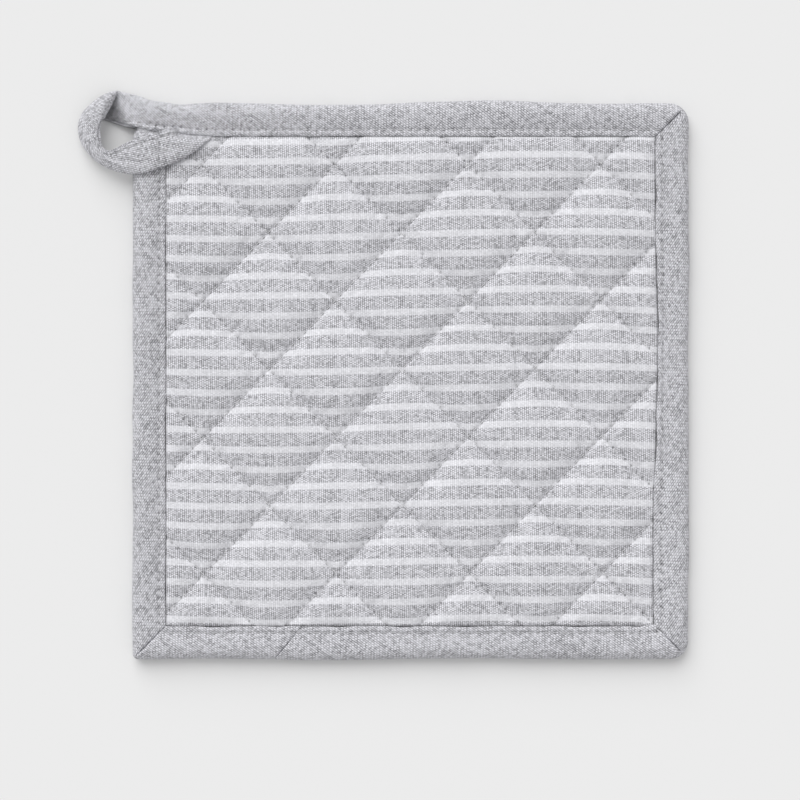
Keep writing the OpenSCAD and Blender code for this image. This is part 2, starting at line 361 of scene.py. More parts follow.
def thread_material(name, colour):
    """Two-ply thread, with the twist as a fine slanted ridge and as painted shade in its grooves."""
    s = Shader(name, 0.75, sheen=0.1, specular=0.3)
    u, v, _ = s.split(s.attribute("weave"))
    twist = s.math("SINE", s.math("ADD", s.math("MULTIPLY", u, 9.0), v))
    fibre = s.noise(s.combine(u, v), 4.0, 2.0)
    # painted shade: the twist's grooves are a little darker
    shade = s.math("ADD", s.math("MULTIPLY_ADD", twist, 0.08, 0.9), s.math("MULTIPLY", fibre, 0.16))
    return s.finish(s.shade(s.blend(fibre, colour, tuple(0.86 * c for c in colour)), shade), twist, 0.05)


def wadding_material():
    s = Shader("wadding", 1.0, sheen=0.3, specular=0.1)
    texture = s.new("TexCoord")
    fuzz = s.noise(texture.outputs["Object"], 900.0, 6.0, 0.75)
    shade = s.math("MULTIPLY_ADD", fuzz, 0.3, 0.8)
    return s.finish(s.shade(s.blend(fuzz, (0.80, 0.79, 0.76), (0.72, 0.71, 0.69)), shade), fuzz, 0.6)


def floor_material():
    s = Shader("floor", 0.95, specular=0.0)
    texture = s.new("TexCoord")
    grain = s.noise(texture.outputs["Object"], 3.0, 2.0)
    s.join(s.blend(grain, FLOOR_COLOUR, tuple(0.996 * c for c in FLOOR_COLOUR)), s.shader.inputs["Base Color"])
    return s.material


FLOOR_COLOUR = (0.822, 0.822, 0.822)
STRIPED = cotton("striped_cotton", stripes=True, bias=False)
PLAIN = cotton("plain_cotton", stripes=False, bias=False)
TAPE = cotton("bias_tape", stripes=False, bias=True, pale=(0.60, 0.598, 0.632), grey=(0.385, 0.385, 0.408))
QUILT_THREAD = thread_material("quilting_thread", (0.84, 0.84, 0.86))
EDGE_THREAD = thread_material("edge_thread", (0.68, 0.68, 0.70))
WADDING = wadding_material()

# ---- Stitches ----

STITCH_RINGS = 7
STITCH_SIDES = 8


def stitches(name, path, material, node, body="pad", up=1.0, radius=0.17, sink=0.42, lift=0.1, seed=0):
    """Short bowed runs of thread along a path of points, each end diving into its needle hole."""
    rng = np.random.default_rng(seed)
    verts, faces, weave = [], [], []
    turn = np.linspace(0, 2 * math.pi, STITCH_SIDES, endpoint=False)
    for line in path:
        line = np.asarray(line, float)
        along = run_length(line)
        count = max(1, int(along[-1] / STITCH))
        pitch = along[-1] / count
        for k in range(count):
            share = np.linspace(0.0, 1.0, STITCH_RINGS)
            at = (k + 0.13 + 0.74 * share) * pitch
            centre = np.stack([np.interp(at, along, line[:, axis]) for axis in range(3)], 1)
            bow = np.sin(math.pi * share)
            centre[:, 2] += up * (lift * bow - sink * (1 - bow) ** 3)
            centre[:, :2] += rng.normal(0, 0.035, 2)
            ahead = np.gradient(centre, axis=0)
            ahead /= np.linalg.norm(ahead, axis=1)[:, None]
            side = np.cross(ahead, [0, 0, 1.0])
            side /= np.linalg.norm(side, axis=1)[:, None]
            above = np.cross(side, ahead)
            thick = radius * (0.7 + 0.3 * bow)
            ring = (centre[:, None] + thick[:, None, None] * (np.cos(turn)[None, :, None] * side[:, None]
                    + np.sin(turn)[None, :, None] * above[:, None]))
            base = len(verts) * STITCH_RINGS * STITCH_SIDES
            verts.append(ring.reshape(-1, 3))
            faces += [[base + i for i in face] for face in tube_faces(STITCH_RINGS, STITCH_SIDES)]
            place = np.zeros((STITCH_RINGS, STITCH_SIDES, 2))
            place[..., 0] = at[:, None]
            place[..., 1] = turn[None, :]
            weave.append(place.reshape(-1, 2))
    obj = new_object(name, np.vstack(verts), faces, material, weave=np.vstack(weave))
    face_outwards(obj)
    if body:
        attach(obj, body)
    if node:
        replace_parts(obj, node)
    return obj


# ---- The quilted cloth ----

COARSE = 20  # simulated cells between two quilting lines
FINE = 60  # finished cells between two quilting lines
PUFF_RUN = 6.5  # how quickly the cloth climbs away from a quilting line
EDGE_RUN = 3.2  # the same beside the binding
VALLEY = 0.7  # how broad the bottom of the valley at a quilting line is
CORNER_POWER = 3.5  # how far the steep sides reach into a diamond's corners
CORNER_CUT = INNER + 7.6  # the panels' corners are trimmed where both sides reach this far from the centre
PATCHES = 10  # spaces between quilting lines, each way, that cover the whole pad
TO_LATTICE = np.array([RISE_N, FALL_N])
FROM_LATTICE = np.linalg.inv(TO_LATTICE)
FIRST_RISE = RISE_AT[3] - PATCHES / 2 * PITCH
FIRST_FALL = FALL_AT[3] - PATCHES / 2 * PITCH
TAIL_CENTRE = np.array([-HALF, HALF + 12.3])
TAIL_R = 38.0


def lip_wave(x, y):
    """How far the tape's inner edge strays outwards: the right side's is the least straight."""
    right = smooth(HALF - 20, HALF - 12, x)
    return right * (1.0 * bump_at(y, 14, 26) - 0.8 * smooth(-22, -48, y))


def lattice(steps):
    """Flat points of a grid whose lines run along the quilting, with steps cells between two lines."""
    along = np.arange(PATCHES * steps + 1) * PITCH / steps
    rise, fall = np.meshgrid(FIRST_RISE + along, FIRST_FALL + along, indexing="ij")
    return np.stack([rise, fall], -1) @ FROM_LATTICE.T


def grid_quads(count):
    index = np.arange(count * count).reshape(count, count)
    return np.stack([index[:-1, :-1], index[:-1, 1:], index[1:, 1:], index[1:, :-1]], -1).reshape(-1, 4)


def on_lines(steps):
    """Which points of a grid lie on a quilting line."""
    step = np.arange(PATCHES * steps + 1)
    hit = (step % steps == 0) & (np.abs(step - PATCHES * steps / 2) <= 3 * steps)
    return hit[:, None] | hit[None, :]


def padded_rise(away, run):
    """How high full padding lifts the cloth at a distance from a seam, as a share of the crown."""
    return (1 - np.exp(-np.maximum(away, 1e-4) / run)) / (1 - math.exp(-PITCH / 2 / run))


def full_domes(flat):
    """The puffs of well filled padding: steep at every seam, right into the diamonds' corners."""
    at = flat @ TO_LATTICE.T - np.array([RISE_AT[3], FALL_AT[3]])
    away = np.hypot(np.abs(at / PITCH - np.round(at / PITCH)) * PITCH, VALLEY) - VALLEY
    border = INNER + 0.3 - np.abs(flat)
    border[..., 0] += lip_wave(flat[..., 0], flat[..., 1])
    rises = [padded_rise(away[..., 0], PUFF_RUN), padded_rise(away[..., 1], PUFF_RUN),
             padded_rise(border[..., 0], EDGE_RUN), padded_rise(border[..., 1], EDGE_RUN)]
    return sum(rise**-CORNER_POWER for rise in rises) ** (-1 / CORNER_POWER)


def blown_up(flat):
    """How far the cloth moves from flat when it is pinned along the quilting and blown up from below."""
    count = flat.shape[0]
    pinned = on_lines(COARSE) | (np.abs(flat).max(-1) > INNER + 0.3)
    pinned |= np.linalg.norm(flat - TAIL_CENTRE, axis=-1) < TAIL_R - 0.5
    quads = grid_quads(count)
    points = flat.reshape(-1, 2)
    quads = quads[(np.abs(points[quads].mean(1)) < HALF).all(-1)]
    used, faces = np.unique(quads, return_inverse=True)
    scale = 10.0  # the solver is steadier on a cloth two metres wide
    start = np.column_stack([points[used], np.where(pinned.ravel()[used], 0.0, 0.3)])
    mesh = bpy.data.meshes.new("cloth_run")
    mesh.from_pydata((start * MM * scale).tolist(), [], faces.reshape(-1, 4).tolist())
    cloth = bpy.data.objects.new("cloth_run", mesh)
    bpy.context.scene.collection.objects.link(cloth)
    pins = cloth.vertex_groups.new(name="pins")
    pins.add(np.nonzero(pinned.ravel()[used])[0].tolist(), 1.0, "REPLACE")
    modifier = cloth.modifiers.new("cloth", "CLOTH")
    settings = modifier.settings
    settings.vertex_group_mass = "pins"
    settings.quality = 5
    settings.mass = 0.003
    settings.bending_stiffness = 0.5
    settings.use_pressure = True
    settings.uniform_pressure_force = 5.0
    settings.shrink_min = -0.03
    settings.air_damping = 5
    settings.effector_weights.gravity = 0
    modifier.collision_settings.use_collision = False
    modifier.point_cache.frame_start = 1
    modifier.point_cache.frame_end = 20
    for number in range(1, 21):
        bpy.context.scene.frame_set(number)
    result = cloth.evaluated_get(bpy.context.evaluated_depsgraph_get()).to_mesh()
    ended = np.empty(len(result.vertices) * 3)
    result.vertices.foreach_get("co", ended)
    ended = ended.reshape(-1, 3) / MM / scale
    bpy.data.objects.remove(cloth)
    bpy.data.meshes.remove(mesh)
    bpy.context.scene.frame_set(1)
    moved = np.zeros((count * count, 3))
    moved[used] = ended - np.column_stack([points[used], np.zeros(len(used))])
    moved = moved.reshape(count, count, 3)
    height = moved[..., 2]
    top = np.percentile(height[np.abs(flat).max(-1) < INNER], 96)
    moved[..., 2] = height / top
    return moved


def finer(moved):
    """The coarse cloth's movement on the fine grid. Each patch is smooth on its own, so creases stay sharp."""
    step = np.linspace(0, COARSE, FINE + 1)
    first = np.clip(step.astype(int) - 1, 0, COARSE - 3)
    weight = np.zeros((FINE + 1, COARSE + 1))
    for k in range(4):
        share = np.ones(FINE + 1)
        for other in range(4):
            if other != k:
                share *= (step - (first + other)) / (k - other)
        weight[np.arange(FINE + 1), first + k] = share
    size = PATCHES * FINE + 1
    out = np.zeros((size, size, 3))
    for a in range(PATCHES):
        for b in range(PATCHES):
            patch = moved[a * COARSE : (a + 1) * COARSE + 1, b * COARSE : (b + 1) * COARSE + 1]
            out[a * FINE : (a + 1) * FINE + 1, b * FINE : (b + 1) * FINE + 1] = np.einsum(
                "fi,ijk,gj->fgk", weight, patch, weight)
    return out


SIMULATED_SHARE, DOME_SHARE = 0.4, 0.6
DOMES = full_domes(lattice(FINE))
MOVED = finer(blown_up(lattice(COARSE)))
MOVED[..., 2] = SIMULATED_SHARE * MOVED[..., 2] + DOME_SHARE * DOMES


def cloth_move(flat):
    """How the cloth moves at any flat points, with its height as a share of the crown."""
    at = (flat @ TO_LATTICE.T - np.array([FIRST_RISE, FIRST_FALL])) * FINE / PITCH
    low = np.clip(np.floor(at + 1e-6).astype(int), 0, PATCHES * FINE - 1)
    part = np.clip(at - low, 0, 1)
    i, j = low[:, 0], low[:, 1]
    p, q = part[:, :1], part[:, 1:]
    return ((1 - p) * (1 - q) * MOVED[i, j] + p * (1 - q) * MOVED[i + 1, j]
            + (1 - p) * q * MOVED[i, j + 1] + p * q * MOVED[i + 1, j + 1])


def seam_places(flat):
    """For both families: distance from the nearest quilting line, place along it and the line's number."""
    found = []
    for normal, at, angle in ((RISE_N, RISE_AT, RISE_ANGLE), (FALL_N, FALL_AT, FALL_ANGLE)):
        across = flat @ normal
        number = np.clip(np.round((across - at[0]) / PITCH), 0, 6).astype(int)
        along = flat @ np.array([math.cos(angle), math.sin(angle)])
        found.append((across - at[number], along, number))
    return found


def stitch_phase(along, number, family):
    return along / STITCH + 0.37 * number + 0.21 * family


def puckers(flat):
    """The stitches' own dents and gathers in the cloth, and painted shade: a dark dot at each needle hole and a dark
    band where the cloth tucks under the binding.
    """
    drop = np.zeros(len(flat))
    painted_dark = np.zeros(len(flat))
    inside = smooth(INNER + 1.0, INNER - 1.0, np.abs(flat).max(-1))
    for family, (off, along, number) in enumerate(seam_places(flat)):
        phase = stitch_phase(along, number, family)
        near_hole = 0.5 + 0.5 * np.cos(2 * math.pi * phase)
        drop -= 0.18 * near_hole * bump_at(off, 0, 0.5)
        drop += 0.08 * (1 - near_hole) * bump_at(np.abs(off), 1.2, 1.0)
        gather = waves(along, off * 0.35, 31 + family, 6.5)
        drop += 0.12 * gather * np.exp(-np.abs(off) / 3.6) * (1 - np.exp(-np.abs(off) / 0.9))
        # painted shade: a dark dot at each needle hole
        spot = (phase - np.round(phase)) * STITCH
        painted_dark = np.maximum(painted_dark, np.exp(-((spot / 0.38) ** 2 + (off / 0.38) ** 2)))
    border = np.maximum(np.abs(flat[:, 0]) - lip_wave(flat[:, 0], flat[:, 1]), np.abs(flat[:, 1]))
    tucked = smooth(INNER - 0.7, INNER + 0.1, border)
    # painted shade: a dark band where the cloth tucks under the binding, beside the dark needle holes
    return drop * inside - 0.45 * tucked, np.maximum(painted_dark * inside, 0.8 * tucked)


def thread_rake(off):
    """How the cloth creeps sideways next to a quilting line: a jump at the line that fades half way across."""
    share = off / PITCH
    return np.sign(share) * (0.5 - np.abs(share)) * 2 * (1 - np.exp(-np.abs(share) / 0.06))


def stripe_place(flat):
    """Place on the striped cloth, whose grain is a little off square and creeps at each quilting line."""
    x, y = flat[:, 0], flat[:, 1]
    rise, fall = seam_places(flat)
    v = (2.5255 + 0.9959 * y - 0.03075 * x - 7.0e-5 * x * y + 3.49e-5 * x**2 + 1.75e-5 * y**2
         + 4.3e-7 * x * x * y + 4.8e-7 * x * y * y + 3.12e-6 * x**3
         + 0.33 * thread_rake(rise[0]) + 0.30 * thread_rake(fall[0]))
    return np.column_stack([x + 0.012 * y, v])


def flat_panel(steps):
    """The panel's flat mesh on the quilting's own grid, cut off square inside the binding."""
    points = lattice(steps).reshape(-1, 2)
    quads = grid_quads(PATCHES * steps + 1)
    quads = quads[(np.abs(points[quads].mean(1)) < PANEL_HALF + PITCH / steps).all(-1)]
    used, faces = np.unique(quads, return_inverse=True)
    mesh = bpy.data.meshes.new("flat")
    mesh.from_pydata(np.column_stack([points[used], np.zeros(len(used))]).tolist(), [],
                     faces.reshape(-1, 4).tolist())
    bm = bmesh.new()
    bm.from_mesh(mesh)
    for x, y in ((1, 0), (-1, 0), (0, 1), (0, -1), (1, 1), (1, -1), (-1, -1)):
        normal = Vector((x, y, 0)).normalized()
        reach = float(PANEL_HALF) if x * y == 0 else CORNER_CUT * math.sqrt(2)
        bmesh.ops.bisect_plane(bm, geom=bm.verts[:] + bm.edges[:] + bm.faces[:], dist=1e-4,
                               plane_co=normal * reach, plane_no=normal, clear_outer=True)
    bm.verts.index_update()
    verts = np.array([v.co[:2] for v in bm.verts])
    faces = [[v.index for v in f.verts] for f in bm.faces]
    bm.free()
    bpy.data.meshes.remove(mesh)
    return verts, faces


def front_height(flat, move, drop):
    """Height of the front cloth: the puffs, the stitches' dents, and the press of the loop's tail."""
    crown = CROWN_Z - LINE_Z
    variation = 1 + 0.10 * waves(flat[:, 0], flat[:, 1], 5, 46)
    under_tail = smooth(TAIL_R + 1, TAIL_R - 3, np.linalg.norm(flat - TAIL_CENTRE, axis=1))
    height = LINE_Z + crown * variation * move[:, 2] + drop
    return height * (1 - under_tail) + np.minimum(height, LINE_Z + 0.5) * under_tail


def back_height(flat, move, drop):
    """Height of the back cloth, whose puffs rest flat on the floor."""
    rest = 1 - (1 - np.clip(move[:, 2] / 0.8, 0, 1)) ** 2
    return BACK_LINE_Z - (BACK_LINE_Z - 0.04) * rest - 0.7 * drop * (1 - rest)


def build_panels():
    for name, node, slot, material, steps, creep, height in (
            ("quilted_front_panel", "front_panel", "striped_cotton", STRIPED, FINE, 0.8, front_height),
            ("quilted_back_panel", "back_panel", "plain_cotton", PLAIN, FINE // 2, 0.5, back_height)):
        flat, faces = flat_panel(steps)
        weave = stripe_place(flat) if height is front_height else flat
        if height is back_height:
            faces = [f[::-1] for f in faces]
        move = cloth_move(flat)
        drop, painted_dark = puckers(flat)
        points = np.column_stack([flat + creep * move[:, :2], height(flat, move, drop)])
        panel = new_object(name, points, faces, material, weave=weave, dark=painted_dark)
        thicken(panel, 0.5)
        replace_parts(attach(panel, "pad"), node)


def thicken(obj, thickness):
    """Gives a single layer of cloth its thickness, on the side that faces the wadding."""
    modifier = obj.modifiers.new("thickness", "SOLIDIFY")
    modifier.thickness = thickness * MM
    modifier.offset = -1.0


def build_wadding():
    """The stuffing that fills the space between the two panels."""
    side = np.linspace(-PANEL_HALF + 0.6, PANEL_HALF - 0.6, 116)
    x, y = np.meshgrid(side, side, indexing="ij")
    flat = np.column_stack([x.ravel(), y.ravel()])
    beyond = np.maximum(np.abs(flat).sum(1) / 2 - CORNER_CUT + 0.8, 0)
    flat = flat - np.sign(flat) * beyond[:, None]
    move = cloth_move(flat)
    drop, _ = puckers(flat)
    top = front_height(flat, move, drop) - 0.72
    bottom = back_height(flat, move, drop) + 0.72
    bottom = np.minimum(bottom, top - 0.4)
    count = len(side)
    verts = np.vstack([np.column_stack([flat, top]), np.column_stack([flat, bottom])])
    upper = grid_quads(count)[:, ::-1]
    lower = grid_quads(count) + count * count
    index = np.arange(count * count).reshape(count, count)
    rim = np.concatenate([index[:, 0], index[-1, 1:], index[::-1, -1][1:], index[0, ::-1][1:-1]])
    ahead = np.roll(rim, -1)
    walls = np.column_stack([rim, ahead, ahead + count * count, rim + count * count])
    pad = new_object("wadding_pad", verts, np.vstack([upper, lower, walls]), WADDING)
    face_outwards(pad)
    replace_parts(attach(pad, "pad"), "wadding")


def clipped_line(normal, angle, offset):
    """A quilting line's points inside the binding."""
    ahead = np.array([math.cos(angle), math.sin(angle)])
    along = np.arange(-160, 160, 0.25)
    points = normal * offset + along[:, None] * ahead
    keep = np.abs(points).max(1) < INNER + 0.3
    return along[keep], points[keep]


def build_quilting_threads():
    for family, (name, normal, angle, at) in enumerate(
            (("rising", RISE_N, RISE_ANGLE, RISE_AT), ("falling", FALL_N, FALL_ANGLE, FALL_AT))):
        for i in range(7):
            along, points = clipped_line(normal, angle, at[i])
            phase = stitch_phase(along, i, family)
            keep = (phase >= math.ceil(phase[0])) & (phase <= math.floor(phase[-1]))
            path = points[keep]
            front = np.column_stack([path, np.full(len(path), LINE_Z + 0.06)])
            back = np.column_stack([path, np.full(len(path), BACK_LINE_Z - 0.06)])
            seed = 100 * family + i
            for thread, line, up in (("needle", front, 1.0), ("bobbin", back, -1.0)):
                node = f"{name}_{thread}_thread_{i + 1}"
                obj = stitches(f"{name}_{thread}_stitches_{i + 1}", [line], QUILT_THREAD, node, up=up,
                               radius=0.13, seed=seed)


# ---- The folded tape ----

# Cross-section from the front leg's lip round the outer fold to the back leg's lip, then back inside.
# Each row is (distance from the inner edge, height from the tape's middle), open round the pad's edge.
OPEN_SECTION = [
    (0.2, 1.78), (0.0, 2.0), (0.2, 2.32), (0.85, 2.56), (1.6, 2.58), (2.3, 2.42), (3.1, 2.7), (4.8, 3.12),
    (7.2, 3.5), (9.0, 3.4), (10.6, 2.7), (11.6, 1.5), (12.0, 0.0), (11.5, -1.3), (10.4, -2.3), (8.8, -2.74),
    (6.8, -2.78), (4.6, -2.78), (3.1, -2.66), (2.3, -2.5), (1.6, -2.62), (0.85, -2.7), (0.2, -2.4), (0.0, -2.05),
    (0.2, -1.78), (2.5, -1.74), (6.0, -1.74), (9.5, -1.6), (10.8, -0.9), (11.05, 0.0), (10.8, 0.9), (9.5, 1.6),
    (6.0, 1.74), (2.5, 1.74),
]
# The same points where the two legs are pressed together and sewn, beyond the pad.
CLOSED_SECTION = [
    (1.1, 0.1), (0.9, 0.42), (1.1, 0.78), (1.45, 0.9), (1.8, 0.86), (2.2, 0.72), (2.9, 0.9), (4.6, 1.15),
    (6.8, 1.2), (8.8, 1.18), (10.5, 0.98), (11.6, 0.6), (12.0, 0.0), (11.6, -0.6), (10.5, -0.98), (8.8, -1.15),
    (6.8, -1.15), (4.6, -1.05), (2.9, -0.78), (2.1, -0.45), (1.5, -0.78), (0.95, -0.8), (0.25, -0.6), (0.0, -0.25),
    (0.25, 0.0), (2.5, -0.05), (6.0, -0.05), (9.0, -0.05), (10.4, -0.04), (10.9, 0.0), (10.4, 0.04), (9.0, 0.05),
    (6.0, 0.05), (2.5, 0.05),
]
ROWS = 3 * len(OPEN_SECTION)


def closed_curve(points, count):
    """Smooth closed ring through points."""
    p = np.asarray(points, float)
    ring = np.vstack([p[-2:], p, p[:3]])
    t = np.linspace(0, len(p), count, endpoint=False)
    i = t.astype(int)
    u = (t - i)[:, None]
    return catmull_rom(ring[i + 1], ring[i + 2], ring[i + 3], ring[(i + 4) % len(ring)], u)


OPEN = closed_curve(OPEN_SECTION, ROWS)
CLOSED = closed_curve(CLOSED_SECTION, ROWS)
GIRTH = run_length(OPEN)
CLOSED_GIRTH = run_length(CLOSED)


def outline_wave(x, y):
    """How far the pad's edge strays in or out, along its run."""
    top_bulge = smooth(HALF - 20, HALF - 8, y) * (1.0 * bump_at(x, 30, 26) - 0.35 * bump_at(x, -32, 20))
    return 0.3 * waves(x, y, 77, 60) + 0.12 * waves(x, y, 78, 17) + top_bulge


def side_points(inset, start_x, end_x, start_r, end_r, count):
    """Points along the top side at an inset, with half of a round corner at each end."""
    y = HALF - inset
    a, b = max(start_r - inset, 0) if start_r else 0, max(end_r - inset, 0) if end_r else 0
    left = -y + a if start_x is None else start_x
    right = y - b if end_x is None else end_x
    first, straight, last = a * math.pi / 4, right - left, b * math.pi / 4
    even = np.linspace(0, 1, count)
    run = (first + straight + last) * (even - 0.72 * np.sin(2 * math.pi * even) / (2 * math.pi))
    x = left + np.clip(run - first, 0, straight)
    height = np.full(count, y)
    if first > 0:
        on = run < first
        turn = math.pi / 4 * (1 + run[on] / first)
        x[on] = left - a * np.cos(turn)
        height[on] = y - a + a * np.sin(turn)
    if last > 0:
        on = run > first + straight
        turn = math.pi / 4 * (2 - (run[on] - first - straight) / last)
        x[on] = right + b * np.cos(turn)
        height[on] = y - b + b * np.sin(turn)
    return x, height


def turned(points, quarter):
    """Points carried from the top side to the right, bottom or left side, by quarter turns clockwise."""
    x, y = points[..., 0], points[..., 1]
    for _ in range(quarter):
        x, y = y, -x
    return np.stack([x, y, *np.moveaxis(points[..., 2:], -1, 0)], -1)


NEEDLE_R = 0.36  # size of a needle hole
STITCH_LEG = 2.3  # from the binding's inner edge to the edge stitching
STITCH_IN = INNER + STITCH_LEG  # the same from the pad's centre


def edge_dents(run, leg):
    """Dents along the edge stitching, and painted shade at its needle holes: run is the place along a side, leg the
    distance from the inner edge.
    """
    near_hole = 0.5 + 0.5 * np.cos(2 * math.pi * run / STITCH)
    dent = -0.24 * near_hole * bump_at(leg, STITCH_LEG, 0.6) + 0.07 * (1 - near_hole) * bump_at(leg, 1.2, 0.9)
    gather = 0.10 * waves(run, leg * 0.4, 41, 5.0) * np.exp(-np.abs(leg - STITCH_LEG) / 2.5)
    # painted shade: a dark dot at each needle hole
    spot = (run / STITCH - np.round(run / STITCH)) * STITCH
    return dent + gather, 0.75 * np.exp(-((spot / NEEDLE_R) ** 2 + ((leg - STITCH_LEG) / NEEDLE_R) ** 2))


def surface_swell(x, y):
    """Slow unevenness of the padded binding's height."""
    return 0.16 * waves(x, y, 51, 24) + 0.07 * waves(x, y, 52, 8)


# The tape's two edges where it leaves the top left corner, as (x, y) from that corner.
TAPE_INNER = [(-10.3, -5.8), (-6.1, -7.3), (-1.2, -8.8), (4.3, -9.7), (9.1, -10.4), (17.0, -11.0), (26.0, -12.0),
              (40.0, -12.0)]
TAPE_OUTER = [(-4.9, 4.6), (2.3, 2.8), (6.2, 1.3), (12.3, 0.4), (17.0, -0.3), (26.0, 0.0), (40.0, 0.0), (60.0, 0.0)]


def edge_line(points, x):
    """Height of an edge at x, smoothed through its points."""
    fine = curve_through(points, 200)
    return np.interp(x, fine[:, 0] - HALF, fine[:, 1] + HALF)


def tape_plane(y):
    """Height of the tape's middle where it leaves the pad: the hinge line's slope."""
    joint = record_joint("loop_flip")
    at, axis = np.array(joint["pos_m"]) / MM, np.array(joint["axis"])
    return at[2] + (y - at[1]) * axis[2] / axis[1]


def mitre_press(x, y, right, over):
    """How flat the tape is pulled at a corner's mitre line. over is the side that lies on top."""
    away = (y - (x if right else -x)) / math.sqrt(2)
    press = 0.85 * np.exp(-away / 0.16) + (0.06 if over else 0.30) * np.exp(-away / (0.6 if over else 1.6))
    ridge = (0.12 if over else 0.0) * bump_at(away, 1.3, 1.0)
    return np.minimum(press, 0.9) - ridge


def strip_side(quarter, start, end, count, over_start=False, over_end=False):
    """One side of a strip, as stations by rows of (x, y, z), the place on the cloth and the painted shade of the
    needle holes.

    start and end say how the side ends: a corner radius, or a function from the inset to x."""
    grid = np.zeros((count, ROWS, 3))
    weave = np.zeros((count, ROWS, 2))
    painted_dark = np.zeros((count, ROWS))
    for row in range(ROWS):
        leg, high = OPEN[row]
        inset = LEG - leg
        front = OPEN_SIDE[row]
        start_x = start(inset) if callable(start) else None
        end_x = end(inset) if callable(end) else None
        x, y = side_points(inset, start_x, end_x, None if callable(start) else start,
                           None if callable(end) else end, count)
        run = x.copy()
        share = leg / LEG  # FAULT: below 0 at the lips, where share**1.5 is nan. max(leg / LEG, 0.0) mends it.
        scale = np.ones(count)
        held = 1 - 0.85 * smooth(9.5, 11.5, leg)
        if not callable(end):
            scale -= held * mitre_press(x, y, True, over_end)
        if not callable(start):
            scale -= held * mitre_press(x, y, False, over_start)
        if callable(end) and quarter == SEAM_SIDE:
            scale -= 0.8 * np.exp(-(end_x - x) / 0.16) + 0.08 * np.exp(-(end_x - x) / 1.0)
        if callable(start) and quarter == SEAM_SIDE:
            scale -= 0.8 * np.exp(-(x - start_x) / 0.16) + 0.22 * np.exp(-(x - start_x) / 1.2)
        dent, dark = edge_dents(run + 13.7 * quarter, np.full(count, leg))
        place = turned(np.stack([x, y], -1), quarter)
        swell = surface_swell(place[:, 0], place[:, 1])
        outside = OUTSIDE[row]
        inner_face = 1.72 * np.sign(high) if abs(high) > 1.72 else high
        z = MID_Z + inner_face + (high - inner_face) * scale
        z = z + outside * front * (dent + swell * bump_at(leg, 7, 4.5))
        z = np.where(front < 0, np.maximum(z, 0.02), z)
        stray = outline_wave(place[:, 0], place[:, 1]) * share**1.5
        corner_calm = smooth(0, 16, HALF - np.abs(x))
        y = y + stray * corner_calm - outside * (1 - scale) * 0.5 * smooth(9.5, 12, leg)
        lip = 0.16 * waves(run, run * 0 + 40 * quarter, 61, 14) * corner_calm
        y = y + (lip + lip_wave(place[:, 0], place[:, 1])) * bump_at(leg, 0, 2.4)
        grid[:, row] = np.stack([x, y, z], -1)
        weave[:, row, 0] = run + 2 * HALF * quarter
        weave[:, row, 1] = GIRTH[row]
        painted_dark[:, row] = dark * outside
    return grid, weave, painted_dark


# Which rows face out, and whether they are in the front (1) or the back (-1).
LAST_OUTSIDE = 3 * 24
OUTSIDE = np.array([1.0 if 0 < r < LAST_OUTSIDE else 0.0 for r in range(ROWS)])
OPEN_SIDE = np.array([1.0 if OPEN[r, 1] >= 0 else -1.0 for r in range(ROWS)])
SEAM_SIDE = 2  # the side with the join seam, in quarter turns from the top


def join_plane(inset):
    """Where the join seam crosses the bottom side at an inset, along that side turned to the top."""
    seam_low, seam_high = box_mm("join_seam_thread")
    slope = (seam_high[1] - seam_low[1]) / (seam_high[0] - seam_low[0])
    centre = (seam_low + seam_high) / 2
    y = -(HALF - inset)
    return -(centre[0] + (y - centre[1]) / slope)


def joined(parts):
    """Sides of one strip, end to end, without the doubled stations at their mitres."""
    keep = [parts[0]] + [tuple(a[1:] for a in part) for part in parts[1:]]
    return [np.concatenate([part[i] for part in keep]) for i in range(3)]


def leaving(x):
    """The tape's edges at x, how far it has left its square path there, and how far it is pressed shut."""
    return (edge_line(TAPE_INNER, x), edge_line(TAPE_OUTER, x),
            smooth(-HALF + 42, -HALF + 24, x), smooth(-HALF + 9, -HALF - 3.5, x))


def leave_corner(grid, weave, painted_dark):
    """Bends the top side's left end to the tape's own edges, presses the tape shut beyond the pad, and paints shade
    on the tape where it dives under its fold.
    """
    x = grid[..., 0]
    low, high, moved, close = leaving(x)
    leg = OPEN[:, 0] + close * (CLOSED[:, 0] - OPEN[:, 0])
    y = grid[..., 1] + moved * (low + leg / LEG * (high - low) - (INNER + OPEN[:, 0]))
    shut_z = tape_plane(y) + CLOSED[None, :, 1]
    tuck = smooth(-HALF - 3.4, -HALF - 8.6, x + 0.45 * (y - HALF))
    z = grid[..., 2] * (1 - close) + shut_z * close
    z = np.maximum(z - 2.2 * tuck, np.minimum(z, 0.1 + 0.1 * (OPEN_SIDE > 0)))
    grid[..., 1], grid[..., 2] = y, z
    girth = GIRTH + close * (CLOSED_GIRTH - GIRTH)
    weave[..., 1] += moved * (girth * (high - low) / LEG - GIRTH)
    centre = (low + high) / 2
    slope = (edge_line(TAPE_INNER, x + 1) + edge_line(TAPE_OUTER, x + 1)) / 2 - centre
    weave[..., 0] += moved * slope * (y - centre)
    # painted shade in the crease where the tape dives under its own fold
    painted_dark[:] = np.maximum(painted_dark, 0.65 * tuck * (OPEN_SIDE > 0))


def crease_x(inset):
    """Where the tape dives under its own fold, left of the pad."""
    share = (LEG - inset) / LEG
    return -HALF - 12.4 + share * 5.6


def across_hinge(obj):
    """Bakes the placement of a piece of tape or thread into its mesh, without bending it."""
    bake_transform(obj)


def tape_object(name, grid, weave, painted_dark):
    """A tape from its stations by rows of points."""
    obj = new_object(name, grid.reshape(-1, 3), tube_faces(len(grid), ROWS), TAPE,
                     weave=weave.reshape(-1, 2), dark=painted_dark.ravel())
    face_outwards(obj)
    return obj


ROUND_CORNER = 6.8
SMALL_CORNER = 2.0


